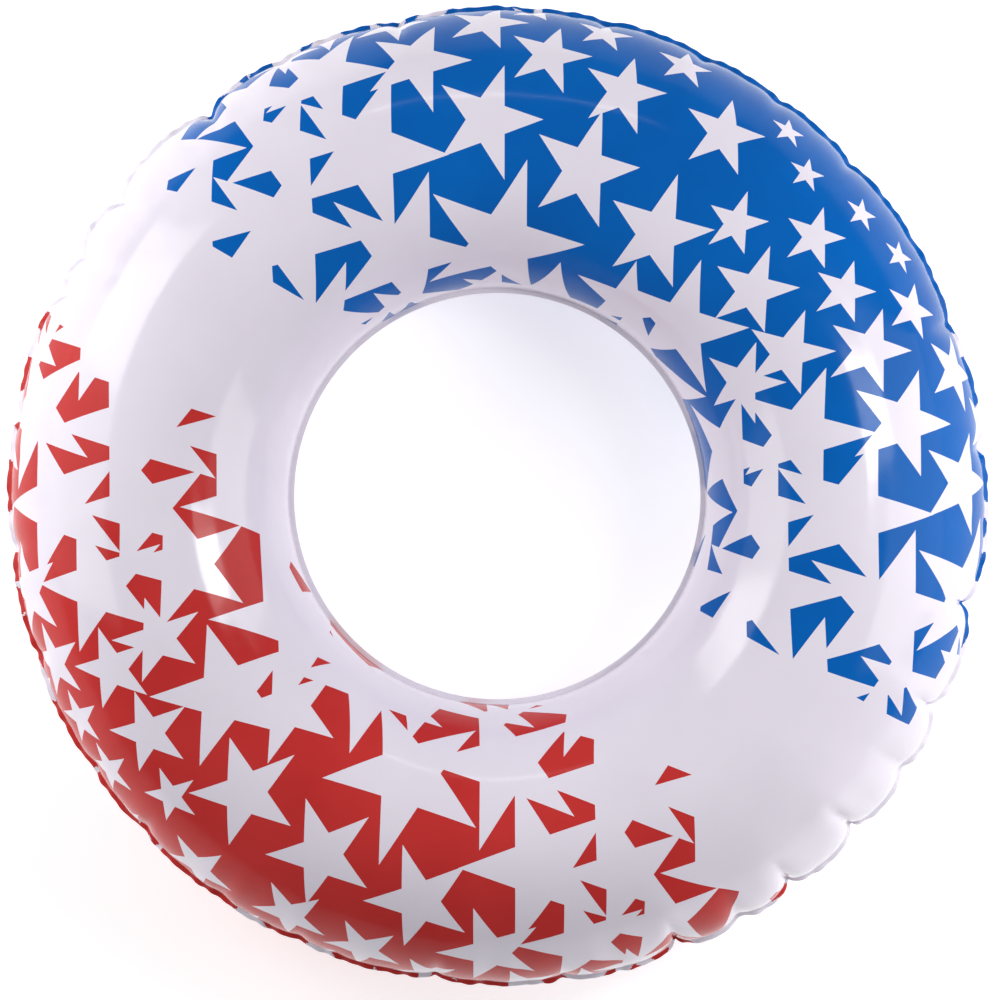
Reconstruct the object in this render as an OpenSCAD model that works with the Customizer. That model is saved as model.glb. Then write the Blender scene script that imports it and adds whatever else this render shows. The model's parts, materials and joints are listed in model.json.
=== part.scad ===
// Inflatable swim ring: two flat vinyl annuli welded to each other at their inner and outer
// edges and blown up into a tube, with a push-in air valve on the underside.
// The ring lies on z = 0 with its axis on +Z.

/* [Tube] */
// Radius of the circle that the tube's centre follows
ring_r = 246.5; // [240:0.5:260]
// Outer radius of the inflated tube's round section
tube_r = 98.5; // [95:0.5:102]
// Thickness of one vinyl sheet
sheet_t = 0.3; // [0.2:0.05:0.5]
// How far the tube flattens where it rests
sink = 0.15; // [0.1:0.05:0.3]

/* [Seams] */
// Width of the flat welded margin round the outside
outer_seam_w = 4; // [3:0.5:6]
// Width of the flat welded margin inside the hole
inner_seam_w = 3.5; // [2.5:0.5:5]
// Number of scallops that the gathered outer margin is drawn into
scallops = 64; // [48:4:80]
// Depth of each scallop
scallop_depth = 2; // [1:0.25:2.5]

/* [Valve place] */
// Direction of the valve round the ring, from +X
valve_azimuth = 159.5; // [0:0.5:359.5]
// Tilt of the valve's axis from straight down, towards the ring's axis
valve_tilt = 23; // [15:1:35]

/* [Valve] */
// Radius of the hole cut in the lower sheet
panel_hole_r = 13; // [12:0.5:15]
// Radius of the moulded flange welded behind that hole
flange_r = 18; // [17:0.5:21]
// Thickness of the flange
flange_t = 0.8; // [0.6:0.1:1.2]
// Radius of the opening in the flange, where the soft collar starts
collar_r = 11; // [10.5:0.5:11.5]
// Thickness of the soft rolling collar
collar_t = 0.5; // [0.4:0.1:0.7]
// Outer radius of the stem
stem_r = 5.5; // [5.4:0.1:5.7]
// Radius of the stem's air bore
bore_r = 3.5; // [3.4:0.1:3.6]
// Length of the stem
stem_l = 16; // [15:0.5:18]
// Depth below the sheet at which the collar meets the pushed-in stem
collar_depth = 9; // [8:0.5:10]

/* [Plug] */
// Radius of the plug's cap
cap_r = 6; // [5.8:0.1:6.4]
// Thickness of the cap
cap_t = 1.2; // [1:0.1:1.5]
// Depth that the plug reaches into the bore
shank_l = 4; // [3.5:0.1:4.5]
// Radius of the plug under its cap
shank_top_r = 3.3; // [3.2:0.05:3.35]
// Radius of the plug at its tip
shank_tip_r = 2.3; // [2:0.1:2.4]
// Distance of the strap's bend from the stem's axis
strap_bend_x = 8; // [7.8:0.1:8.4]
// Width of the strap
strap_w = 3.5; // [3:0.5:4.5]

/* [Check flap] */
// Radius of the non-return flap
flap_r = 5.2; // [4.8:0.1:5.4]
// Thickness of the flap
flap_t = 0.6; // [0.5:0.1:0.8]

/* [Hidden] */
$fn = 96;
big_fn = 360;                        // for circles as large as the ring

centre_z = tube_r - sink;            // height of the tube's centre circle
inner_r = tube_r - sheet_t;          // inside radius of the tube
outer_weld_r = ring_r + tube_r;      // where the sheets meet outside
inner_weld_r = ring_r - tube_r;      // where the sheets meet in the hole
seam_t = 2 * sheet_t;                // two fused sheets
scallop_steps = 6;                   // outline points in one scallop
gap = 0.1;                           // clearance between pieces that move on each other
strap_t = 1;                         // thickness of the plug's strap
strap_ring_z = -2.6;                 // underside of the strap's ring round the stem
strap_ring_w = 1.1;                  // how far the strap's ring stands out of the stem
tab_l = 3.5;                         // finger tab of the plug
tab_w = 5;
hinge_lug_w = 4;                     // lug that the check flap hangs from
hinge_lug_l = 1.2;
far = 1000;                          // longer than anything here

// --- places ---------------------------------------------------------------------------------

// Moves a shape drawn about the valve's axis to the valve: z = 0 is the sheet's outer face and
// +z points out of the tube, +x towards the ring's axis.
module at_valve() {
    rotate([0, 0, valve_azimuth])
        translate([ring_r, 0, centre_z])
            rotate([0, 180 + valve_tilt, 0])
                translate([0, 0, tube_r])
                    children();
}

module rod(r, low, high) {
    translate([0, 0, low]) cylinder(r = r, h = high - low);
}

// --- the tube ---------------------------------------------------------------------------------

// Section of the tube's wall, flattened where it rests, about the tube's centre.
module wall_section() {
    difference() {
        intersection() {
            circle(r = tube_r);
            translate([-far / 2, -centre_z]) square([far, far]);
        }
        intersection() {
            circle(r = inner_r);
            translate([-far / 2, -centre_z + sheet_t]) square([far, far]);
        }
    }
}

// One half of the tube, as a ring: side is 1 for the upper sheet and -1 for the lower one.
module half_tube(side) {
    rotate_extrude(angle = 360, $fn = big_fn)
        translate([ring_r, centre_z])
            intersection() {
                wall_section();
                translate([-far / 2, side > 0 ? 0 : -far]) square([far, far]);
            }
}

module top_panel() {
    color("royalblue") half_tube(1);
}

module bottom_panel() {
    color("firebrick") difference() {
        half_tube(-1);
        at_valve() rod(panel_hole_r, -tube_r / 4, tube_r / 4);
    }
}

function scallop(a) = scallop_depth * (1 - abs(sin(a * scallops / 2)));

module outer_seam() {
    edge_r = outer_weld_r + outer_seam_w;
    count = scallops * scallop_steps;
    outline = [for (i = [0:count - 1]) let (a = 360 * i / count, r = edge_r - scallop(a))
        [r * cos(a), r * sin(a)]];
    color("lavender") translate([0, 0, centre_z - seam_t / 2]) difference() {
        linear_extrude(seam_t) polygon(outline);
        translate([0, 0, -seam_t]) cylinder(r = outer_weld_r, h = 3 * seam_t, $fn = big_fn);
    }
}

module inner_seam() {
    color("lavender") translate([0, 0, centre_z - seam_t / 2]) difference() {
        cylinder(r = inner_weld_r, h = seam_t, $fn = big_fn);
        translate([0, 0, -seam_t])
            cylinder(r = inner_weld_r - inner_seam_w, h = 3 * seam_t, $fn = big_fn);
    }
}

// --- the valve --------------------------------------------------------------------------------

// A disc that follows the inside of the lower sheet, welded round the hole.
module valve_flange() {
    color("white") difference() {
        intersection() {
            rotate_extrude(angle = 360, $fn = big_fn) translate([ring_r, centre_z]) difference() {
                circle(r = inner_r);
                circle(r = inner_r - flange_t);
            }
            at_valve() rod(flange_r, -tube_r / 4, tube_r / 4);
        }
        at_valve() rod(collar_r, -tube_r / 4, tube_r / 4);
    }
}

// The soft cone between flange and stem, rolled inwards with the stem pushed in.
module valve_collar() {
    top_z = -sheet_t - flange_t / 2;
    lip = collar_t;
    color("whitesmoke") at_valve() rotate_extrude(angle = 360) polygon([
        [collar_r - gap, top_z],
        [collar_r - gap - collar_t, top_z],
        [stem_r + gap, -collar_depth],
        [stem_r + gap, -collar_depth - lip],
        [stem_r + gap + collar_t / 2, -collar_depth - lip],
        [collar_r - gap, top_z - lip],
    ]);
}

module valve_stem() {
    color("white") at_valve() difference() {
        union() {
            rod(stem_r, -stem_l, 0);
            translate([0, -hinge_lug_w / 2, -stem_l])
                cube([stem_r + hinge_lug_l, hinge_lug_w, hinge_lug_l]);
        }
        rod(bore_r, -stem_l - 1, 1);
    }
}

// A thin disc under the stem's inner end, hinged at one side, that inner pressure holds shut.
module check_flap() {
    color("gainsboro") at_valve() translate([0, 0, -stem_l - gap - flap_t]) union() {
        cylinder(r = flap_r, h = flap_t);
        translate([0, -hinge_lug_w / 2, 0]) cube([stem_r + hinge_lug_l, hinge_lug_w, flap_t]);
    }
}

module finger_tab() {
    end_x = cap_r + tab_l - tab_w / 2;
    linear_extrude(cap_t) {
        translate([-end_x, 0]) circle(r = tab_w / 2);
        translate([-end_x, -tab_w / 2]) square([end_x - cap_r / 2, tab_w]);
    }
}

module valve_plug() {
    color("white") at_valve() union() {
        translate([0, 0, -shank_l]) cylinder(r1 = shank_tip_r, r2 = shank_top_r, h = shank_l + gap);
        translate([0, 0, gap]) cylinder(r = cap_r, h = cap_t);
        translate([0, 0, gap]) finger_tab();
    }
}

// A ring round the stem's neck with a short strap that bends up to the plug's cap.
module plug_strap() {
    cap_mid_z = gap + cap_t / 2;
    ring_mid_z = strap_ring_z + strap_t / 2;
    bend_r = (cap_mid_z - ring_mid_z) / 2;
    bend_z = (cap_mid_z + ring_mid_z) / 2;
    bend_x = strap_bend_x - bend_r;
    color("whitesmoke") at_valve() union() {
        difference() {
            rod(stem_r + strap_ring_w, strap_ring_z, strap_ring_z + strap_t);
            rod(stem_r, strap_ring_z - 1, 1);
        }
        rotate([90, 0, 0]) linear_extrude(strap_w, center = true) {
            translate([stem_r + strap_ring_w / 2, strap_ring_z])
                square([bend_x - stem_r - strap_ring_w / 2, strap_t]);
            translate([bend_x, bend_z]) intersection() {
                difference() {
                    circle(r = bend_r + strap_t / 2);
                    circle(r = bend_r - strap_t / 2);
                }
                translate([0, -far / 2]) square([far, far]);
            }
            translate([cap_r + gap, cap_mid_z - strap_t / 2])
                square([max(bend_x - cap_r - gap, gap), strap_t]);
        }
    }
}

top_panel();
bottom_panel();
outer_seam();
inner_seam();
valve_flange();
valve_collar();
valve_stem();
check_flap();
valve_plug();
plug_strap();
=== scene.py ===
"""The looks of an inflatable swim ring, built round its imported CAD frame: two printed vinyl sheets
swollen by cloth simulation, their welded seams, and the air valve on the underside."""

import json
import math

import bmesh
import bpy
import numpy as np
from mathutils import Matrix, Vector, kdtree
from mathutils.geometry import delaunay_2d_cdt


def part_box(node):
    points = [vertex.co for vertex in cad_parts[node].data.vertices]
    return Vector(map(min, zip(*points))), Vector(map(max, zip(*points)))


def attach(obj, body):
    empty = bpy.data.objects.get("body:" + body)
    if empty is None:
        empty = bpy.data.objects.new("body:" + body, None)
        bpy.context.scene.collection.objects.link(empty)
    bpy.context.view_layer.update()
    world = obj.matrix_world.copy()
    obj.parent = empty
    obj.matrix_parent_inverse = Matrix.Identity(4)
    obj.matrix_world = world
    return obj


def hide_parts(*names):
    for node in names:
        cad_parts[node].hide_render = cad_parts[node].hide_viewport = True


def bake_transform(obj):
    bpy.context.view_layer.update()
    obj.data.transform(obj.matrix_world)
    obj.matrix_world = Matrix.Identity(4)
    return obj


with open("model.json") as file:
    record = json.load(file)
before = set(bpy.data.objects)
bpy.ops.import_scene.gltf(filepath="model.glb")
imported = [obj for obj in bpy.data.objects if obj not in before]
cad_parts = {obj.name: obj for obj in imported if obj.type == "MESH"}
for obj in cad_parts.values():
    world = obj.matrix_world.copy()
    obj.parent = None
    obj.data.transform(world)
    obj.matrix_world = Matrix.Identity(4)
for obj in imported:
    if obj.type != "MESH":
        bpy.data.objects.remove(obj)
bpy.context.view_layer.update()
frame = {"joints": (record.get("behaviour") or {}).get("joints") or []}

MM = 0.001
WHITE, BLUE, RED = 0, 1, 2
BARE = -1                                # outside the sheet

# --- the ring's shape, from the frame -------------------------------------------------------

top_low, top_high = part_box("top_panel")
hole_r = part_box("inner_seam")[1].x       # where the sheets are welded in the hole
TUBE_R = top_high.z - top_low.z
RING_R = (top_high.x + hole_r) / 2
CENTRE_Z = top_low.z
ARC = math.pi * TUBE_R                   # from weld to weld across one sheet
FLAT_HOLE_R = 127 * MM                   # the hole's weld in the flat sheet, before it stretches
FLAT_OUTER_R = FLAT_HOLE_R + ARC

# --- the valve's place, from the frame's joints ---------------------------------------------

HINGE_OUT = 8 * MM                       # from the stem's axis to the plug's hinge
joints = {j["name"]: j for j in frame["joints"]}
valve_out = Vector(joints["stem_pull"]["axis"]).normalized()
hinge_axis = Vector(joints["plug_swing"]["axis"]).normalized()
valve_x = hinge_axis.cross(valve_out).normalized()
valve_at = Vector(joints["plug_swing"]["pos_m"]) - HINGE_OUT * valve_x
valve_y = valve_out.cross(valve_x)
VALVE = Matrix.Translation(valve_at) @ Matrix((valve_x, valve_y, valve_out)).transposed().to_4x4()

valve_azimuth = math.atan2(valve_at.y, valve_at.x)
valve_across = math.atan2(CENTRE_Z - valve_at.z, RING_R - math.hypot(valve_at.x, valve_at.y)) / math.pi
HOLE_R = 13 * MM                         # hole in the lower sheet
RIM_R = 18 * MM                          # outside of the weld round that hole
FLANGE_T = 0.8 * MM
SHEET_T = 0.3 * MM


# --- meshes ---------------------------------------------------------------------------------

def make_piece(name, points, faces, materials, face_materials=None, normals=None):
    """A mesh object from points in metres and faces that all have the same number of corners."""
    points, faces = np.asarray(points, np.float32), np.asarray(faces, np.int32)
    corners = faces.shape[1]
    mesh = bpy.data.meshes.new(name)
    mesh.vertices.add(len(points))
    mesh.vertices.foreach_set("co", points.ravel())
    mesh.loops.add(faces.size)
    mesh.loops.foreach_set("vertex_index", faces.ravel())
    mesh.polygons.add(len(faces))
    mesh.polygons.foreach_set("loop_start", np.arange(0, faces.size, corners, dtype=np.int32))
    if face_materials is not None:
        mesh.polygons.foreach_set("material_index", np.asarray(face_materials, np.int32))
    mesh.polygons.foreach_set("use_smooth", np.ones(len(faces), bool))
    for material in materials:
        mesh.materials.append(material)
    mesh.update(calc_edges=True)
    mesh.validate()
    if normals is not None:
        mesh.normals_split_custom_set_from_vertices(np.asarray(normals, float).tolist())
    piece = bpy.data.objects.new(name, mesh)
    bpy.context.scene.collection.objects.link(piece)
    return piece


def grid_faces(rows, columns, close_rows=False, close_columns=True):
    """Four-cornered faces over a grid of points, row by row."""
    i = np.arange(rows if close_rows else rows - 1)[:, None]
    j = np.arange(columns if close_columns else columns - 1)[None, :]
    i1, j1 = (i + 1) % rows, (j + 1) % columns
    faces = [i * columns + j, i1 * columns + j, i1 * columns + j1, i * columns + j1]
    return np.stack([f.ravel() for f in np.broadcast_arrays(*faces)], -1)


# --- the blown-up skin ----------------------------------------------------------------------

SKIN_AROUND, SKIN_ACROSS = 640, 28       # simulated points round the ring and across one sheet
SLACK_FROM = 0.66                        # across the sheet, where its spare length begins
CLOTH_SCALE = 20                         # the solver suits cloth of a few metres
CLOTH_FRAMES = 18
AIR_PRESSURE = 3
DEEP_NOTCHES = (-13, -26, -34, -43, -53, -60, -68, 127, 142, 150, 155)    # azimuths in degrees
CLEAR_OF_DEEP = 3                        # degrees from a deep notch to the nearest shallow one
SHALLOW_LEAST, SHALLOW_MOST = 0.2, 0.6   # depths of the shallow notches, in a deep one's
SHALLOW_NEAR, SHALLOW_FAR = 4, 7         # degrees from one shallow notch to the next
DEEP_WIDTH = 1.3                         # width of a deep notch in a shallow one's
SLACK_ALL, SLACK_MORE = 0.075, 0.09      # spare share of length all round, and more at one side
SLACK_AZIMUTH, SLACK_SPREAD = -42, 32    # degrees: the middle and the spread of that side
WAVES_ROUND = range(20, 110)             # how many waves the uneven skin has round the ring
NOTCH_START, WAVE_START = 3.5 * MM, 0.7 * MM     # how uneven the skin is before it is blown up
FOLD_DEPTH, FOLD_WIDTH = 6 * MM, 1.6     # the deep notches' folds; the width is in degrees
MOST_IN, MOST_OUT = -14 * MM, 5 * MM     # how far the skin may move from the plain tube


def smoothstep(x):
    x = np.clip(x, 0, 1)
    return x * x * (3 - 2 * x)


def degrees_apart(azimuth, other):
    """From an azimuth in degrees to one in radians, from -180 to 180."""
    return (np.degrees(azimuth) - other + 180) % 360 - 180


def notches(azimuth):
    """How far the outer seam is drawn in before blowing up, from 0 to about 1, in seeded creases."""
    random = np.random.default_rng(11)
    drawn = np.zeros_like(azimuth)
    at = 0.0
    while at < 360:
        if min(abs(degrees_apart(math.radians(at), d)) for d in DEEP_NOTCHES) > CLEAR_OF_DEEP:
            depth = random.uniform(SHALLOW_LEAST, SHALLOW_MOST)
            drawn += depth * np.exp(-np.abs(degrees_apart(azimuth, at)))
        at += random.uniform(SHALLOW_NEAR, SHALLOW_FAR)
    for at in DEEP_NOTCHES:
        drawn += np.exp(-np.abs(degrees_apart(azimuth, at)) / DEEP_WIDTH)
    return drawn


def slack(azimuth):
    """Spare length of the sheets at the outer seam: most at the lower right of the ring."""
    from_middle = degrees_apart(azimuth, SLACK_AZIMUTH)
    return SLACK_ALL + SLACK_MORE * np.exp(-(from_middle / SLACK_SPREAD) ** 2)


def uneven_tube(azimuth, turn, loose):
    """The tube before it is blown up, drawn in and waved a little near its outer seam."""
    random = np.random.default_rng(5)
    waves = sum(random.normal() * np.cos(k * azimuth + random.uniform(0, 2 * math.pi))
                for k in WAVES_ROUND)
    out = RING_R - TUBE_R * np.cos(turn) - NOTCH_START * loose * notches(azimuth)
    up = TUBE_R * np.sin(turn) + WAVE_START * loose * waves / waves.std()
    return np.stack([out * np.cos(azimuth), out * np.sin(azimuth), up], -1)


def blow_up(start, spare):
    """Cloth simulation of a closed tube, given as rows of points: the first row is held, and the
    cloth may grow by the spare share of its length."""
    rows = len(start)
    points = (start * CLOTH_SCALE).reshape(-1, 3)
    tube = make_piece("blown_tube", points, grid_faces(rows, SKIN_AROUND, True), [])
    held = tube.vertex_groups.new(name="held")
    held.add(list(range(SKIN_AROUND)), 1, "REPLACE")
    tight = tube.vertex_groups.new(name="tight")
    for i, weight in enumerate((1 - spare / spare.max()).ravel().tolist()):
        tight.add([i], weight, "REPLACE")
    cloth = tube.modifiers.new("cloth", "CLOTH")
    soft = cloth.settings
    soft.quality, soft.mass, soft.air_damping = 4, 0.1, 1
    soft.tension_stiffness = soft.compression_stiffness = 100
    soft.shear_stiffness, soft.bending_stiffness = 25, 0.08
    soft.tension_damping = soft.compression_damping = soft.shear_damping = 5
    soft.use_pressure, soft.uniform_pressure_force = True, AIR_PRESSURE
    soft.vertex_group_mass, soft.vertex_group_shrink = "held", "tight"
    soft.shrink_min, soft.shrink_max = -float(spare.max()), 0
    soft.effector_weights.gravity = 0
    cloth.collision_settings.use_collision = False
    cloth.point_cache.frame_end = CLOTH_FRAMES
    for step in range(1, CLOTH_FRAMES + 1):
        bpy.context.scene.frame_set(step)
    blown = tube.evaluated_get(bpy.context.evaluated_depsgraph_get()).data
    points = np.empty(len(blown.vertices) * 3, np.float32)
    blown.vertices.foreach_get("co", points)
    bpy.context.scene.frame_set(1)
    bpy.data.objects.remove(tube)
    return points.reshape(rows, SKIN_AROUND, 3).astype(float) / CLOTH_SCALE


def blown_bulges():
    """Offsets of the skin from the plain tube, from a cloth simulation: the whole tube is blown up with
    spare length near its outer seam, where the sheets pucker. The seam in the hole is held."""
    rows = 2 * SKIN_ACROSS
    azimuth = np.arange(SKIN_AROUND) * 2 * math.pi / SKIN_AROUND
    turn = (np.arange(rows) * math.pi / SKIN_ACROSS)[:, None]
    across = np.minimum(turn, 2 * math.pi - turn) / math.pi
    loose = smoothstep((across - SLACK_FROM) / (1 - SLACK_FROM))
    points = blow_up(uneven_tube(azimuth, turn, loose), loose * slack(azimuth))

    reach = np.hypot(points[..., 0], points[..., 1])
    swing = (np.arctan2(points[..., 1], points[..., 0]) - azimuth + math.pi) % (2 * math.pi) - math.pi
    away = [reach, swing * RING_R, points[..., 2]]
    away = np.stack([a - a.mean(1, keepdims=True) for a in away], -1)
    for axis in (1, 1, 0):
        away = (np.roll(away, 1, axis) + 2 * away + np.roll(away, -1, axis)) / 4
    folds = sum(np.exp(-np.abs(degrees_apart(azimuth, at)) / FOLD_WIDTH) for at in DEEP_NOTCHES)
    away[..., 0] -= FOLD_DEPTH * loose**2 * (folds - folds.mean())
    away[..., 0] = np.clip(away[..., 0], MOST_IN, MOST_OUT)
    above = away[:SKIN_ACROSS + 1]
    below = away[[-i % rows for i in range(SKIN_ACROSS + 1)]]
    return [above, below]


bulges = blown_bulges()


def spline_weights(t):
    """Catmull-Rom weights of the four samples round a place t between the middle two."""
    return np.stack([-t + 2 * t**2 - t**3, 2 - 5 * t**2 + 3 * t**3,
                     t + 4 * t**2 - 3 * t**3, -t**2 + t**3]) / 2


def bulge_at(side, azimuth, across):
    """The offset from the plain tube anywhere on a sheet, between the simulated points."""
    field = bulges[0 if side > 0 else 1]
    u = azimuth / (2 * math.pi) * SKIN_AROUND
    v = np.clip(across, 0, 1) * SKIN_ACROSS
    u0, v0 = np.floor(u).astype(int), np.minimum(np.floor(v).astype(int), SKIN_ACROSS - 1)
    wu, wv = spline_weights(u - u0), spline_weights(v - v0)
    total = np.zeros(azimuth.shape + (3,))
    for a in range(4):
        row = np.clip(v0 + a - 1, 0, SKIN_ACROSS)
        for b in range(4):
            total += (wv[a] * wu[b])[..., None] * field[row, (u0 + b - 1) % SKIN_AROUND]
    return total


def skin(side, azimuth, across, inward=0.0):
    """Points on the sheet above (side 1) or below (-1). Across is 0 at the hole, 1 outside."""
    azimuth, across = np.broadcast_arrays(np.asarray(azimuth, float), np.asarray(across, float))
    offset = bulge_at(side, azimuth, across)
    turn = across * math.pi
    radius = TUBE_R - inward
    out = RING_R - radius * np.cos(turn) + offset[..., 0]
    up = CENTRE_Z + side * radius * np.sin(turn) + offset[..., 2]
    angle = azimuth + offset[..., 1] / RING_R
    return np.stack([out * np.cos(angle), out * np.sin(angle), np.maximum(up, 0)], -1)


def skin_normals(side, azimuth, across):
    """Outward directions on a sheet, from points a small step apart."""
    step = 1e-3
    low, high = np.maximum(across - step, 0), np.minimum(across + step, 1)
    around = skin(side, azimuth + step, across) - skin(side, azimuth - step, across)
    over = skin(side, azimuth, high) - skin(side, azimuth, low)
    normal = np.cross(around, -over * side)
    return normal / np.linalg.norm(normal, axis=-1, keepdims=True)


# --- the print: stars cut out of a coloured field --------------------------------------------

# Stars in the flat sheet as (x, y, radius) in millimetres, from the ring's axis.
STARS = [
    (42, 354, 35), (90, 386, 25), (155, 354, 25), (101, 322, 35), (181, 289, 35), (239, 299, 16),
    (249, 259, 16), (297, 230, 16), (331, 198, 16), (70, 264, 45), (131, 215, 45), (192, 219, 25),
    (253, 206, 26), (208, 167, 35), (277, 163, 26), (336, 151, 26), (237, 116, 35), (297, 116, 35),
    (3, 207, 69), (-8, 301, 45), (-8, 394, 35), (149, 138, 58), (101, 151, 45), (202, 93, 35),
    (-65, 349, 45), (-77, 198, 69), (-105, 276, 66), (-141, 341, 56), (-205, 325, 55),
    (-174, 279, 54), (-171, 214, 69), (-143, 137, 59), (-249, 219, 69), (-297, 278, 97),
    (-73, 144, 33), (-18, 115, 69), (85, 79, 81), (30, 124, 69), (34, 424, 25),
    (-205, 140, 69), (-99, 85, 69), (-26, 88, 16),
]
RED_STARS = [(-178, 165, 69)]            # cut out of the red field only
RED_GAP = (-255, 254, 17)                # a round gap that only the red field has
REPEAT = np.array([389, -291])           # from each copy of the motif to the next
COPIES = (-2, -1, 0, 1, 2)
TURN_ABOUT = np.array([-70, -22])        # red is blue turned half round: this minus the point
FIELD_LEFT, FIELD_RIGHT, FIELD_FAR = -300, 95, 900
FIELD_BASE, FIELD_SLOPE = 73, -0.556     # lower edge of the field: its height at x = 0 and slope
INNER_STAR = math.cos(math.radians(72))  # from a star's centre to its edge lines, in its radius
INNER_CORNER = 0.382                     # from a star's centre to its inner corners, in its radius
MIRROR_AZIMUTH = math.radians(100)       # the sheet below is turned over about half this azimuth


def star_outline(x, y, size):
    """The ten corners of a star that points along +X."""
    angles = np.radians(36 * np.arange(10))
    radii = size * np.where(np.arange(10) % 2 == 0, 1, INNER_CORNER)
    return np.stack([x + radii * np.cos(angles), y + radii * np.sin(angles)], -1)


def in_star(points, x, y, size):
    """True inside a star: on the inner side of at least four of its five edge lines."""
    within = np.zeros(len(points), int)
    for k in range(5):
        a = math.radians(72 * k)
        along = (points[:, 0] - x) * math.cos(a) + (points[:, 1] - y) * math.sin(a)
        within += along <= size * INNER_STAR
    return within >= 4


def field_outline():
    """The coloured field before stars are cut out: upright sides and a sloping lower edge."""
    low = [FIELD_BASE + FIELD_SLOPE * x for x in (FIELD_LEFT, FIELD_RIGHT)]
    return np.array([(FIELD_LEFT, low[0]), (FIELD_RIGHT, low[1]),
                     (FIELD_RIGHT, FIELD_FAR), (FIELD_LEFT, FIELD_FAR)])


def coloured(points, stars):
    """True where the repeated motif has ink, with these stars cut out."""
    ink = np.zeros(len(points), bool)
    for k in COPIES:
        p = points - k * REPEAT
        ink |= ((p[:, 0] > FIELD_LEFT) & (p[:, 0] < FIELD_RIGHT)
                & (p[:, 1] > FIELD_BASE + FIELD_SLOPE * p[:, 0]))
    for k in COPIES:
        for x, y, size in stars:
            ink &= ~in_star(points - k * REPEAT, x, y, size)
    return ink


def ink_at(points):
    """The ink at points of the flat sheet, in millimetres."""
    turned = TURN_ABOUT - points
    red = coloured(turned, STARS + RED_STARS)
    x, y, radius = RED_GAP
    for k in COPIES:
        red &= np.hypot(*(turned - k * REPEAT - (x, y)).T) > radius
    return np.where(red, RED, np.where(coloured(points, STARS), BLUE, WHITE))


def print_outlines():
    """Closed loops along which the ink may change."""
    motif = [field_outline()] + [star_outline(*s) for s in STARS]
    blue = [o + k * REPEAT for k in COPIES for o in motif]
    red_only = [star_outline(*s) + k * REPEAT for k in COPIES for s in RED_STARS]
    return blue + [TURN_ABOUT - o for o in blue + red_only]


# --- a printed sheet, meshed flat along its print's edges -------------------------------------

STEP = 3.6                               # spacing of the sheet's points, in millimetres
CLEAR = 1.1                              # no plain point nearer than this to a print edge
HOLE_SIDES, OUTER_SIDES = 320, 960       # sides of the sheet's two rims
CHORD_DIP = 0.9998                       # the hole's rim has straight sides, inside its circle
WELD_RING_GAP = 0.4 * MM                 # between the rings of points round the valve's hole
WELD_RINGS_PAST = 0.9 * MM               # how far those rings go past the weld's rim
VALVE_TURN = 4                           # degrees between points round the valve's hole
RIPPLE_PERIOD, RIPPLE_DEPTH = 1.7 * MM, 0.3 * MM
WELD_REACH_IN = 20 * MM                  # the weld lies within this of the valve's mouth, inwards


def circle_points(radius, count):
    angles = np.arange(count) * 2 * math.pi / count
    return np.stack([radius * np.cos(angles), radius * np.sin(angles)], -1)


def triangulate(points, edges):
    """Triangles between the points that keep every edge, as (points, triangles)."""
    out = delaunay_2d_cdt([Vector(p) for p in points.tolist()], edges.tolist(), [], 0, 1e-5)
    return np.array([tuple(p) for p in out[0]]), np.array(out[2])


def loops_to_edges(loops):
    """All the loops' points in one array, and each loop's edges as pairs of indices into it."""
    points = np.concatenate(loops)
    starts = np.cumsum([0] + [len(o) for o in loops[:-1]])
    edges = [np.stack([s + np.arange(len(o)), s + (np.arange(len(o)) + 1) % len(o)], -1)
             for s, o in zip(starts, loops, strict=True)]
    return points, np.concatenate(edges)


def inside(points, loop):
    """True for points inside a convex loop that runs anticlockwise."""
    result = np.ones(len(points), bool)
    for a, b in zip(loop, np.roll(loop, -1, 0), strict=True):
        side = (b[0] - a[0]) * (points[:, 1] - a[1]) - (b[1] - a[1]) * (points[:, 0] - a[0])
        result &= side > 0
    return result


def kinds_of(points, triangles, holes):
    """The ink of each triangle, or BARE outside the sheet."""
    middle = points[triangles].mean(1)
    kinds = ink_at(middle)
    reach = np.hypot(middle[:, 0], middle[:, 1])
    kinds[(reach < FLAT_HOLE_R / MM * CHORD_DIP) | (reach > FLAT_OUTER_R / MM)] = BARE
    for hole in holes:
        kinds[inside(middle, hole)] = BARE
    return kinds


def print_edges(loops, holes):
    """Short pieces of every line on which the ink changes or the sheet ends, as (points, edges)."""
    points, triangles = triangulate(*loops_to_edges(loops))
    kinds = kinds_of(points, triangles, holes)
    sides = np.concatenate([triangles[:, [0, 1]], triangles[:, [1, 2]], triangles[:, [2, 0]]])
    sides = np.sort(sides, 1)
    owner = np.tile(kinds, 3)
    order = np.lexsort((sides[:, 1], sides[:, 0]))
    sides, owner = sides[order], owner[order]
    twin = np.all(sides[:-1] == sides[1:], axis=1)
    changes = sides[:-1][twin & (owner[:-1] != owner[1:])]
    found, edges, place = [], [], {}

    def index(p):
        key = (round(p[0], 4), round(p[1], 4))
        if key not in place:
            place[key] = len(found)
            found.append(key)
        return place[key]

    for a, b in points[changes]:
        parts = max(1, math.ceil(np.linalg.norm(b - a) / STEP))
        row = [index(a + (b - a) * i / parts) for i in range(parts + 1)]
        edges += list(zip(row[:-1], row[1:], strict=True))
    return np.array(found), np.array(edges)


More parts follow.
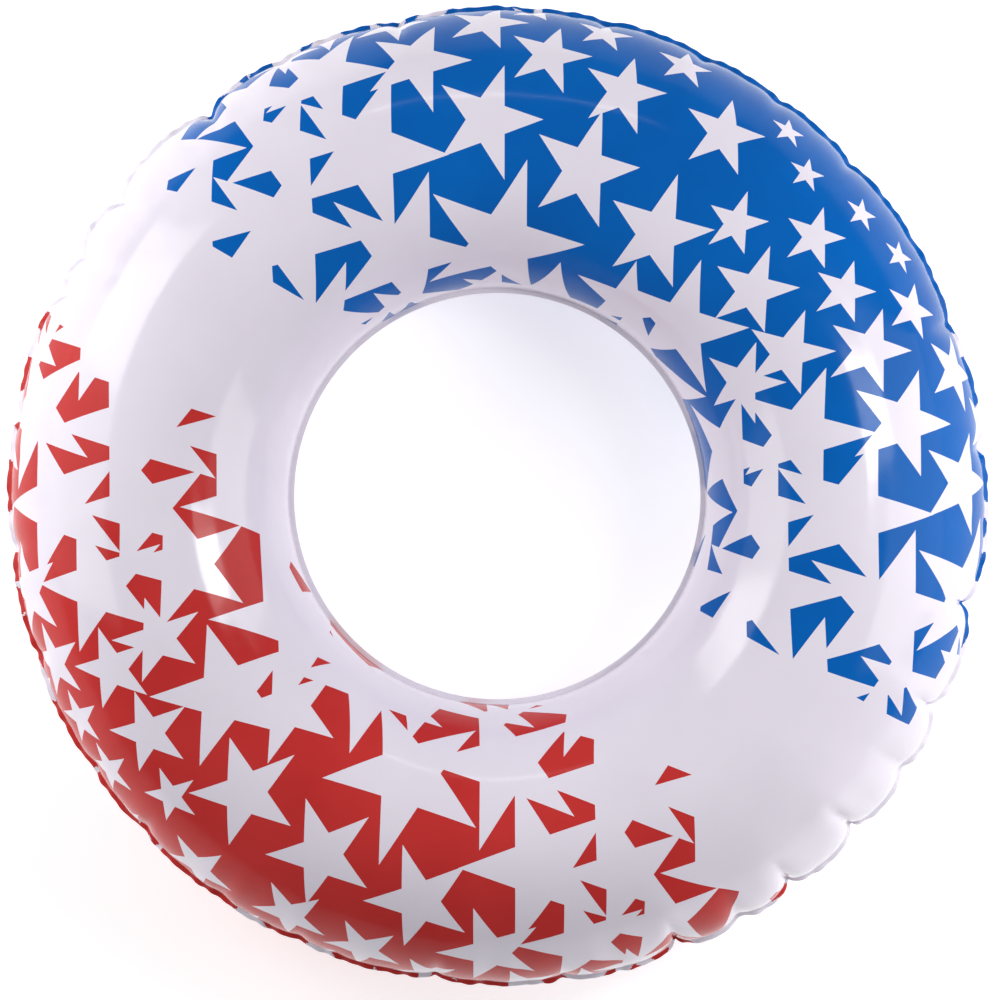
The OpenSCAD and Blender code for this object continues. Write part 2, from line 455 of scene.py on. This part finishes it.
def filling(near):
    """Plain points over the sheet in staggered rings, clear of the points in near."""
    tree = kdtree.KDTree(len(near))
    for i, (x, y) in enumerate(near):
        tree.insert((x, y, 0), i)
    tree.balance()
    rows = round(ARC / MM / STEP / math.sin(math.radians(60)))
    result = []
    for i in range(1, rows):
        radius = (FLAT_HOLE_R + ARC * i / rows) / MM
        count = round(2 * math.pi * radius / STEP)
        angles = (np.arange(count) + i % 2 / 2) * 2 * math.pi / count
        for a in angles:
            p = (radius * math.cos(a), radius * math.sin(a))
            if tree.find((*p, 0))[2] > CLEAR:
                result.append(p)
    return np.array(result)


def printed_sheet(extra_loops, holes):
    """The flat sheet: its points in millimetres, its triangles, and the ink of each."""
    rims = [circle_points(FLAT_HOLE_R / MM, HOLE_SIDES), circle_points(FLAT_OUTER_R / MM, OUTER_SIDES)]
    near, edges = print_edges(rims + print_outlines() + list(holes), holes)
    extra = np.concatenate(extra_loops) if len(extra_loops) else np.empty((0, 2))
    middles = (near[edges[:, 0]] + near[edges[:, 1]]) / 2
    plain = filling(np.concatenate([near, middles, extra]))
    points, triangles = triangulate(np.concatenate([near, extra, plain]), edges)
    kinds = kinds_of(points, triangles, holes)
    triangles, kinds = triangles[kinds != BARE], kinds[kinds != BARE]
    used, triangles = np.unique(triangles, return_inverse=True)
    return points[used], triangles.reshape(-1, 3), kinds


def valve_hole_loops():
    """The valve's hole and the rings of the weld round it, in the flat sheet below."""
    reach = RING_R - TUBE_R * math.cos(valve_across * math.pi)
    loops = []
    for radius in np.arange(HOLE_R, RIM_R + WELD_RINGS_PAST, WELD_RING_GAP):
        a = np.radians(np.arange(0, 360, VALVE_TURN))
        across = valve_across + radius * np.cos(a) / ARC
        azimuth = MIRROR_AZIMUTH - valve_azimuth - radius * np.sin(a) / reach
        flat = (FLAT_HOLE_R + across * ARC) / MM
        loop = np.stack([flat * np.cos(azimuth), flat * np.sin(azimuth)], -1)
        after = np.roll(loop, -1, 0)
        twice_area = np.sum(loop[:, 0] * after[:, 1] - loop[:, 1] * after[:, 0])
        loops.append(loop if twice_area > 0 else loop[::-1])
    return loops


def weld_ripples(place, normals):
    """Presses the rings of the weld round the valve into the lower sheet."""
    axes = np.array(VALVE.to_3x3())
    beside = (place - np.array(valve_at)) @ axes
    reach = np.hypot(beside[:, 0], beside[:, 1])
    welded = (reach < RIM_R) & (beside[:, 2] > -WELD_REACH_IN)
    outward = beside[:, :2] / np.maximum(reach, MM)[:, None] @ axes[:, :2].T
    phase = (reach - RIM_R) / RIPPLE_PERIOD * math.pi
    depth = RIPPLE_DEPTH * np.cos(phase) ** 2 * welded
    slope = RIPPLE_DEPTH * math.pi / RIPPLE_PERIOD * np.sin(2 * phase) * welded
    place = place - normals * depth[:, None]
    normals = normals - outward * slope[:, None]
    return place, normals / np.linalg.norm(normals, axis=1, keepdims=True)


def sheet_piece(name, side, materials, extra_loops=(), holes=()):
    """A printed sheet laid on the skin above (side 1), or turned over on the skin below (-1)."""
    points, triangles, kinds = printed_sheet(extra_loops, holes)
    azimuth = np.arctan2(points[:, 1], points[:, 0])
    if side < 0:
        azimuth = MIRROR_AZIMUTH - azimuth
    across = (np.hypot(points[:, 0], points[:, 1]) * MM - FLAT_HOLE_R) / ARC
    across = np.clip(across, 0, 1)
    place, normals = skin(side, azimuth, across), skin_normals(side, azimuth, across)
    if len(holes):
        place, normals = weld_ripples(place, normals)
    return make_piece(name, place, triangles, materials, kinds, normals)


# --- materials --------------------------------------------------------------------------------

MOTTLE, GLOSS_PATCHES, WAVINESS, GRAIN = 14, 60, 45, 1400    # noise scales, per metre
WAVE_HEIGHT, GRAIN_HEIGHT = 2 * MM, 0.2 * MM
GRAIN_STRENGTH = 0.02


def new_material(name):
    material = bpy.data.materials.new(name)
    material.use_nodes = True
    return material, material.node_tree, material.node_tree.nodes["Principled BSDF"]


def srgb(r, g, b):
    """Linear colour from 0-255 display values."""
    def linear(v):
        v /= 255
        return v / 12.92 if v <= 0.04045 else ((v + 0.055) / 1.055) ** 2.4
    return (linear(r), linear(g), linear(b), 1)


def noise(tree, scale, detail):
    place = tree.nodes.new("ShaderNodeTexCoord")
    node = tree.nodes.new("ShaderNodeTexNoise")
    node.inputs["Scale"].default_value = scale
    node.inputs["Detail"].default_value = detail
    tree.links.new(place.outputs["Object"], node.inputs["Vector"])
    return node.outputs["Fac"]


def between(tree, factor, low, high):
    """Maps the middle of a noise to the range low to high."""
    node = tree.nodes.new("ShaderNodeMapRange")
    node.inputs["From Min"].default_value = 0.3
    node.inputs["From Max"].default_value = 0.7
    node.inputs["To Min"].default_value = low
    node.inputs["To Max"].default_value = high
    tree.links.new(factor, node.inputs["Value"])
    return node.outputs["Result"]


def vinyl(name, colour, other, gloss=(0.1, 0.17), wave=0.06, shine=0.5):
    """Soft PVC film: two close tones, uneven gloss, slow waviness and a fine grain."""
    material, tree, shader = new_material(name)
    mix = tree.nodes.new("ShaderNodeMix")
    mix.data_type = "RGBA"
    mix.inputs["A"].default_value = colour
    mix.inputs["B"].default_value = other
    tree.links.new(between(tree, noise(tree, MOTTLE, 3), 0, 1), mix.inputs["Factor"])
    tree.links.new(mix.outputs["Result"], shader.inputs["Base Color"])
    tree.links.new(between(tree, noise(tree, GLOSS_PATCHES, 3), *gloss), shader.inputs["Roughness"])
    slow = tree.nodes.new("ShaderNodeBump")
    slow.inputs["Strength"].default_value = wave
    slow.inputs["Distance"].default_value = WAVE_HEIGHT
    tree.links.new(noise(tree, WAVINESS, 1), slow.inputs["Height"])
    fine = tree.nodes.new("ShaderNodeBump")
    fine.inputs["Strength"].default_value = GRAIN_STRENGTH
    fine.inputs["Distance"].default_value = GRAIN_HEIGHT
    tree.links.new(noise(tree, GRAIN, 2), fine.inputs["Height"])
    tree.links.new(slow.outputs["Normal"], fine.inputs["Normal"])
    tree.links.new(fine.outputs["Normal"], shader.inputs["Normal"])
    shader.inputs["Specular IOR Level"].default_value = shine
    return material


white_vinyl = vinyl("white_vinyl", srgb(226, 219, 231), srgb(231, 224, 236))
blue_ink = vinyl("blue_ink", srgb(0, 88, 170), srgb(0, 96, 180), shine=0.15)
red_ink = vinyl("red_ink", srgb(187, 45, 44), srgb(197, 53, 51), shine=0.15)
seam_vinyl = vinyl("seam_vinyl", srgb(228, 222, 233), srgb(236, 230, 240), gloss=(0.28, 0.42))
valve_vinyl = vinyl("valve_vinyl", srgb(236, 236, 240), srgb(226, 226, 232), gloss=(0.3, 0.4), wave=0.02)
inks = [white_vinyl, blue_ink, red_ink]


# --- the seams --------------------------------------------------------------------------------

RIB_T = 0.05 * MM                        # height of the weld's ribs
WELD_INSET = 0.5 * MM                    # how far a margin reaches into the tube
OUTER_DROOP = math.radians(38)           # how far the outer margin hangs
INNER_WIDTH = 3.5 * MM
OUTER_COLUMNS, INNER_COLUMNS = 1800, 900     # points along each margin
OUTER_WAVES, INNER_WAVES = 0.2, 0.03     # radians by which the margins wave up and down
WAVE_LENGTHS = np.array([31, 19, 14, 11])    # of those waves, in millimetres
# Across a margin, from the weld to the free edge: how far along, and half the thickness there in
# sheets. The free edge is rounded.
MARGIN_STEPS = np.array([0, 0.12, 0.3, 0.48, 0.66, 0.84, 0.96, 1])
MARGIN_HALF = np.array([1, 1, 1, 1, 1, 1, 0.8, 0.35])
RIBS_FROM, RIBS_TO = 0.1, 0.9            # the ribbed part of that


def seam_margin(name, edge_across, columns, width, droop, waves, materials, inked):
    """The strip of two fused sheets beyond a weld, which hangs by the angle droop and waves. The
    weld is outside the tube where edge_across is 1, and in the hole where it is 0."""
    random = np.random.default_rng(3)
    azimuth = np.arange(columns) * 2 * math.pi / columns
    weld = skin(1, azimuth, edge_across)
    outward = np.stack([np.cos(azimuth), np.sin(azimuth), 0 * azimuth], -1)
    outward *= 1 if edge_across == 1 else -1
    upward = np.array([0, 0, 1])
    reach = np.linalg.norm(weld[0, :2]) * 2 * math.pi
    wave = sum(np.sin(k * azimuth + random.uniform(0, 2 * math.pi))
               for k in (reach / WAVE_LENGTHS / MM).astype(int)) / 2
    hang = (droop + waves * wave)[:, None]
    along = outward * np.cos(hang) - upward * np.sin(hang)
    over = outward * np.sin(hang) + upward * np.cos(hang)
    half = SHEET_T * MARGIN_HALF
    ribs = RIB_T * (np.arange(columns) % 2)
    rows, places = [], []
    for side in (1, -1):
        order = range(len(half)) if side > 0 else reversed(range(len(half)))
        for i in order:
            places.append(-WELD_INSET + MARGIN_STEPS[i] * (width + WELD_INSET))
            thick = half[i] + ribs * (RIBS_FROM < MARGIN_STEPS[i] < RIBS_TO)
            rows.append(weld + along * places[-1] + over * (side * thick)[:, None])
    points = np.stack(rows).reshape(-1, 3)
    faces = grid_faces(len(rows), columns, close_rows=True)
    kinds = None
    if inked:
        flat = (FLAT_OUTER_R + (np.array(places) + np.roll(places, -1)) / 2)[:, None] / MM
        turn = azimuth + math.pi / columns
        turn = np.where(np.arange(len(rows))[:, None] < len(half), turn, MIRROR_AZIMUTH - turn)
        kinds = ink_at(np.stack([flat * np.cos(turn), flat * np.sin(turn)], -1).reshape(-1, 2))
    if edge_across == 0:
        faces = faces[:, ::-1]
    return make_piece(name, points, faces, materials, kinds)


# --- the valve --------------------------------------------------------------------------------

COLLAR_R, COLLAR_TOP, COLLAR_END = 11 * MM, -0.7 * MM, -9.2 * MM
STEM_R, BORE_R, STEM_L = 5.5 * MM, 3.5 * MM, 16 * MM
CAP_R, CAP_LOW, CAP_HIGH = 6 * MM, 0.1 * MM, 1.3 * MM
STRAP_Z, STRAP_T, STRAP_W = -2.1 * MM, 1 * MM, 3.5 * MM
FLAP_R, FLAP_T = 5.2 * MM, 0.6 * MM
FLANGE_STEP, FLANGE_EDGE = 0.6 * MM, 0.15 * MM
FLANGE_GAP = 0.05 * MM                   # between the flange and the inside of the sheet
COLLAR_HALF_T = 0.25 * MM
LUG_HALF, LUG_OUT = 2 * MM, 1.2 * MM     # of the flap's lug and the stem's, which it hangs from
LUG_T = 1.2 * MM                         # the stem's lug
STEM_GROOVES = (-13 * MM, -11.5 * MM, -10 * MM)
TAB_END, TAB_HALF = 7 * MM, 2.5 * MM     # the finger tab's round end: its centre and its radius
GRIP_PLACES = (-8.6 * MM, -7.7 * MM, -6.8 * MM)
GRIP_HALF_W, GRIP_HALF_L = 0.25 * MM, 1.5 * MM
LATHE_SIDES = 96
CORNER_POINTS = 5
MERGE_WITHIN = 1e-6


def finish_small(piece, body, node, at_valve=True):
    """Merges doubled points, turns the faces outwards, and gives the piece its place and body."""
    shape = bmesh.new()
    shape.from_mesh(piece.data)
    bmesh.ops.remove_doubles(shape, verts=shape.verts, dist=MERGE_WITHIN)
    bmesh.ops.recalc_face_normals(shape, faces=shape.faces)
    shape.to_mesh(piece.data)
    shape.free()
    if at_valve:
        piece.data.transform(VALVE)
    if body:
        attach(piece, body)
    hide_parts(node)
    return piece


def lathe(name, profile, closed=True):
    """A profile of (radius, height) pairs turned about the valve's axis."""
    angles = np.arange(LATHE_SIDES) * 2 * math.pi / LATHE_SIDES
    profile = np.array(profile)
    heights = np.broadcast_to(profile[:, 1:], (len(profile), LATHE_SIDES))
    points = np.stack([profile[:, :1] * np.cos(angles), profile[:, :1] * np.sin(angles), heights], -1)
    return make_piece(name, points.reshape(-1, 3), grid_faces(len(profile), LATHE_SIDES, closed),
                      [valve_vinyl])


def join(name, pieces):
    """One object from several, keeping the first one's materials."""
    with bpy.context.temp_override(active_object=pieces[0], object=pieces[0],
                                   selected_objects=pieces, selected_editable_objects=pieces):
        bpy.ops.object.join()
    pieces[0].name = name
    return pieces[0]


def corner(x, z, radius, start):
    """Points of a rounded corner about (x, z), a quarter turn on from start degrees."""
    turns = np.radians(start + np.linspace(0, 90, CORNER_POINTS))
    return [(x + radius * math.cos(t), z + radius * math.sin(t)) for t in turns]


def slab(name, outline, low, high, bevel):
    """A flat solid with this outline and rounded edges."""
    shape = bmesh.new()
    corners = [shape.verts.new((x, y, low)) for x, y in outline]
    face = shape.faces.new(corners)
    grown = bmesh.ops.extrude_face_region(shape, geom=[face])
    moved = [v for v in grown["geom"] if isinstance(v, bmesh.types.BMVert)]
    bmesh.ops.translate(shape, verts=moved, vec=(0, 0, high - low))
    bmesh.ops.recalc_face_normals(shape, faces=shape.faces)
    sharp = [e for e in shape.edges if e.calc_face_angle(0) > math.radians(50)]
    bmesh.ops.bevel(shape, geom=sharp, offset=bevel, segments=3, affect="EDGES", profile=0.5)
    mesh = bpy.data.meshes.new(name)
    shape.to_mesh(mesh)
    shape.free()
    mesh.materials.append(valve_vinyl)
    for polygon in mesh.polygons:
        polygon.use_smooth = True
    piece = bpy.data.objects.new(name, mesh)
    bpy.context.scene.collection.objects.link(piece)
    return piece


def make_flange():
    """A disc inside the lower sheet, round the valve's opening."""
    between_edges = np.arange(COLLAR_R + FLANGE_EDGE, RIM_R, FLANGE_STEP)
    radii = np.concatenate([[COLLAR_R], between_edges, [RIM_R]])
    angles = np.radians(np.arange(0, 360, VALVE_TURN))
    reach = RING_R - TUBE_R * math.cos(valve_across * math.pi)
    rows = []
    for face in (0, 1):
        for radius in (radii if face == 0 else radii[::-1]):
            edge = FLANGE_EDGE * (radius in (COLLAR_R, RIM_R))
            depth = SHEET_T + FLANGE_GAP + (edge if face == 0 else FLANGE_T - edge)
            rows.append(skin(-1, valve_azimuth + radius * np.sin(angles) / reach,
                             valve_across + radius * np.cos(angles) / ARC, depth))
    points = np.stack(rows)
    return make_piece("valve_flange_ring", points.reshape(-1, 3),
                      grid_faces(len(rows), len(angles), True), [valve_vinyl])


def make_collar():
    """The soft cone round the stem, built in one fixed shape: the real one rolls inside out as the stem
    is pulled out.
    """
    t = np.linspace(0, 1, 26)
    radius = COLLAR_R - 0.2 * MM - (COLLAR_R - STEM_R - 0.6 * MM) * (0.75 * t + 0.25 * smoothstep(t))
    height = COLLAR_TOP + (COLLAR_END - COLLAR_TOP) * t
    outer = list(zip(radius + COLLAR_HALF_T, height, strict=True))
    inner = list(zip(radius - COLLAR_HALF_T, height, strict=True))
    return lathe("valve_rolling_collar", outer + inner[::-1])


def make_lug(start, low, high, bevel):
    """A flat lug from start to beyond the stem's side, for the flap's hinge."""
    end = STEM_R + LUG_OUT
    outline = [(start, -LUG_HALF), (end, -LUG_HALF), (end, LUG_HALF), (start, LUG_HALF)]
    return slab("lug", outline, low, high, bevel)


def make_stem():
    """The tube that the ring is blown up through, with a neck for the strap and the flap's lug."""
    lip, groove = 0.4 * MM, 0.25 * MM
    neck_low, neck_high = STRAP_Z - STRAP_T / 2, STRAP_Z + STRAP_T / 2
    profile = corner(STEM_R - lip, -lip, lip, 0) + corner(BORE_R + lip, -lip, lip, 90)
    profile += [(BORE_R, -STEM_L + lip)] + corner(BORE_R + lip, -STEM_L + lip, lip, 180)
    profile += corner(STEM_R - lip, -STEM_L + lip, lip, 270)
    for z in STEM_GROOVES:
        profile += [(STEM_R, z - groove), (STEM_R - groove, z), (STEM_R, z + groove)]
    profile += [(STEM_R, neck_low - lip), (STEM_R - groove, neck_low),
                (STEM_R - groove, neck_high), (STEM_R, neck_high + lip)]
    tube = lathe("valve_stem_tube", profile)
    lug = make_lug(STEM_R - 1 * MM, -STEM_L, -STEM_L + LUG_T, 0.2 * MM)
    return join("valve_stem_tube", [tube, lug])


def make_plug():
    """The cap with its stopper, and a finger tab with grip ridges."""
    lip, crown = 0.35 * MM, 0.25 * MM
    profile = [(0, CAP_HIGH + crown), (2 * MM, CAP_HIGH + 0.85 * crown),
               (4 * MM, CAP_HIGH + 0.4 * crown)]
    profile += corner(CAP_R - lip, CAP_HIGH - lip, lip, 90)[::-1]
    profile += corner(CAP_R - lip, CAP_LOW + lip, lip, 270)[::-1]
    profile += [(3.3 * MM, CAP_LOW), (3.25 * MM, -0.6 * MM), (3.3 * MM, -1.1 * MM),
                (3.15 * MM, -1.6 * MM), (2.6 * MM, -3.5 * MM), (2.1 * MM, -3.85 * MM), (0, -3.9 * MM)]
    cap = lathe("cap", profile, closed=False)
    arc = [(-TAB_END + TAB_HALF * math.cos(a), TAB_HALF * math.sin(a))
           for a in np.radians(np.arange(90, 271, 10))]
    tab = slab("tab", [(-4 * MM, TAB_HALF)] + arc + [(-4 * MM, -TAB_HALF)],
               CAP_LOW, CAP_HIGH - 0.1 * MM, 0.3 * MM)
    grips = [slab("grip", [(x - GRIP_HALF_W, -GRIP_HALF_L), (x + GRIP_HALF_W, -GRIP_HALF_L),
                           (x + GRIP_HALF_W, GRIP_HALF_L), (x - GRIP_HALF_W, GRIP_HALF_L)],
                  CAP_HIGH - 0.3 * MM, CAP_HIGH + 0.15 * MM, 0.12 * MM)
             for x in GRIP_PLACES]
    return join("valve_plug_cap", [cap, tab] + grips)


def make_strap():
    """A ring in the stem's neck and a flat strap that bends up to the cap."""
    low, high, outer = STRAP_Z - STRAP_T / 2, STRAP_Z + STRAP_T / 2, STEM_R + 1.1 * MM
    lip = 0.25 * MM
    ring = lathe("ring", corner(outer - lip, high - lip, lip, 0) + [(STEM_R - 0.2 * MM, high)]
                 + [(STEM_R - 0.2 * MM, low)] + corner(outer - lip, low + lip, lip, 270))
    cap_z = (CAP_LOW + CAP_HIGH) / 2
    bend = (cap_z - STRAP_Z) / 2
    path = [(STEM_R + 0.3 * MM, STRAP_Z), (HINGE_OUT - bend - 0.2 * MM, STRAP_Z)]
    path += [(HINGE_OUT - bend + bend * math.sin(t), STRAP_Z + bend - bend * math.cos(t))
             for t in np.linspace(0, math.pi, 13)]
    path.append((CAP_R - 0.4 * MM, cap_z))
    path = np.array(path)
    along = np.gradient(path, axis=0)
    across = np.stack([-along[:, 1], along[:, 0]], -1) / np.linalg.norm(along, axis=1, keepdims=True)
    half_w, half_t = STRAP_W / 2 - lip, STRAP_T * 0.35 - lip
    section = [(w * half_w + lip * math.cos(t), h * half_t + lip * math.sin(t))
               for w, h, start in ((1, 1, 0), (-1, 1, 90), (-1, -1, 180), (1, -1, 270))
               for t in np.radians(start + np.linspace(0, 90, 4))]
    points = [(x + h * nx, w, z + h * nz)
              for (x, z), (nx, nz) in zip(path, across, strict=True) for w, h in section]
    band = make_piece("band", points, grid_faces(len(path), len(section)), [valve_vinyl])
    return join("plug_strap_band", [ring, band])


def make_flap():
    """The non-return flap at the stem's inner end, on its lug."""
    low = -STEM_L - 0.1 * MM - FLAP_T
    lip = 0.15 * MM
    profile = [(0, low + FLAP_T), (2 * MM, low + FLAP_T)]
    profile += corner(FLAP_R - lip, low + FLAP_T - lip, lip, 90)[::-1]
    profile += corner(FLAP_R - lip, low + lip, lip, 270)[::-1] + [(3 * MM, low), (0, low)]
    disc = lathe("disc", profile, closed=False)
    lug = make_lug(3 * MM, low, low + FLAP_T, 0.12 * MM)
    return join("check_flap_disc", [disc, lug])


# --- the pieces -------------------------------------------------------------------------------

top_sheet = sheet_piece("top_sheet", 1, inks)
weld_loops = valve_hole_loops()
bottom_sheet = sheet_piece("bottom_sheet", -1, inks, weld_loops[1:], weld_loops[:1])
outer_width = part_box("outer_seam")[1].x - top_high.x
outer_margin = seam_margin("outer_margin", 1, OUTER_COLUMNS, outer_width, OUTER_DROOP, OUTER_WAVES,
                           inks, True)
inner_margin = seam_margin("inner_margin", 0, INNER_COLUMNS, INNER_WIDTH, 0, INNER_WAVES,
                           [seam_vinyl], False)
for piece, node, finish in ((top_sheet, "top_panel", "printed_vinyl"),
                            (bottom_sheet, "bottom_panel", "printed_vinyl"),
                            (outer_margin, "outer_seam", "seam_vinyl"),
                            (inner_margin, "inner_seam", "seam_vinyl")):
    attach(piece, "ring")
    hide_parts(node)

finish_small(make_flange(), "ring", "valve_flange", at_valve=False)
finish_small(make_stem(), "stem", "valve_stem")
finish_small(make_plug(), "plug", "valve_plug")
finish_small(make_flap(), "flap", "check_flap")
collar = finish_small(make_collar(), None, "valve_collar")
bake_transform(collar)
strap = finish_small(make_strap(), None, "plug_strap")
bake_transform(strap)


# --- camera, lights and floor -----------------------------------------------------------------

FLOOR_HALF = 4.0
FLOOR_GAP = 0.5 * MM                     # the floor lies this far below the ring
FLOOR_GLOW = 0.45
VIEW_X, VIEW_Y = 1.9 * MM, -2.8 * MM     # the place that the middle of the view looks at
VIEW_DISTANCE, VIEW_WIDTH = 12, 0.7118


def floor_material():
    """A plain pale floor that can't be seen from below."""
    material, tree, shader = new_material("floor")
    shader.inputs["Base Color"].default_value = (0.9, 0.9, 0.9, 1)
    shader.inputs["Roughness"].default_value = 0.9
    shader.inputs["Emission Color"].default_value = (1, 1, 1, 1)
    shader.inputs["Emission Strength"].default_value = FLOOR_GLOW
    clear = tree.nodes.new("ShaderNodeBsdfTransparent")
    mix = tree.nodes.new("ShaderNodeMixShader")
    facing = tree.nodes.new("ShaderNodeNewGeometry")
    tree.links.new(facing.outputs["Backfacing"], mix.inputs["Fac"])
    tree.links.new(shader.outputs["BSDF"], mix.inputs[1])
    tree.links.new(clear.outputs["BSDF"], mix.inputs[2])
    tree.links.new(mix.outputs["Shader"], tree.nodes["Material Output"].inputs["Surface"])
    return material


def add_camera():
    """Looks straight down from far off, with the ring just inside the view."""
    data = bpy.data.cameras.new("camera")
    data.sensor_width = 36
    data.lens = data.sensor_width * VIEW_DISTANCE / VIEW_WIDTH
    camera = bpy.data.objects.new("camera", data)
    camera.location = (VIEW_X, VIEW_Y, CENTRE_Z + VIEW_DISTANCE)
    bpy.context.scene.collection.objects.link(camera)
    bpy.context.scene.camera = camera


def add_softbox(name, direction, distance, size, power):
    """A rectangular light that faces the ring from a direction; size is (across, along)."""
    data = bpy.data.lights.new(name, "AREA")
    data.shape = "RECTANGLE"
    data.size, data.size_y = size
    data.energy = power
    light = bpy.data.objects.new(name, data)
    light.location = Vector(direction).normalized() * distance
    light.rotation_euler = Vector(direction).to_track_quat("Z", "Y").to_euler()
    bpy.context.scene.collection.objects.link(light)


def add_world(strength):
    world = bpy.data.worlds.new("studio")
    world.use_nodes = True
    background = world.node_tree.nodes["Background"]
    background.inputs["Color"].default_value = (0.97, 0.98, 1, 1)
    background.inputs["Strength"].default_value = strength
    bpy.context.scene.world = world


add_camera()
add_softbox("panel_left", (-0.87, 0.14, 0.42), 1.9, (1.5, 1.7), 15)
add_softbox("panel_right", (0.86, 0.05, 0.42), 1.9, (1.5, 1.7), 17.5)
add_softbox("softbox_left", (-0.76, 0.42, 0.5), 1.7, (0.6, 1.1), 7)
add_softbox("softbox_right", (0.57, 0.13, 0.81), 1.7, (0.3, 0.6), 7)
add_softbox("strip_far", (0.02, 0.74, 0.66), 2.2, (1.3, 0.04), 1.2)
add_world(0.3)
floor = make_piece("floor", [(-FLOOR_HALF, -FLOOR_HALF, 0), (FLOOR_HALF, -FLOOR_HALF, 0),
                             (FLOOR_HALF, FLOOR_HALF, 0), (-FLOOR_HALF, FLOOR_HALF, 0)],
                   [(0, 1, 2, 3)], [floor_material()])
floor.location.z = -FLOOR_GAP
bpy.context.scene.view_settings.view_transform = "Standard"
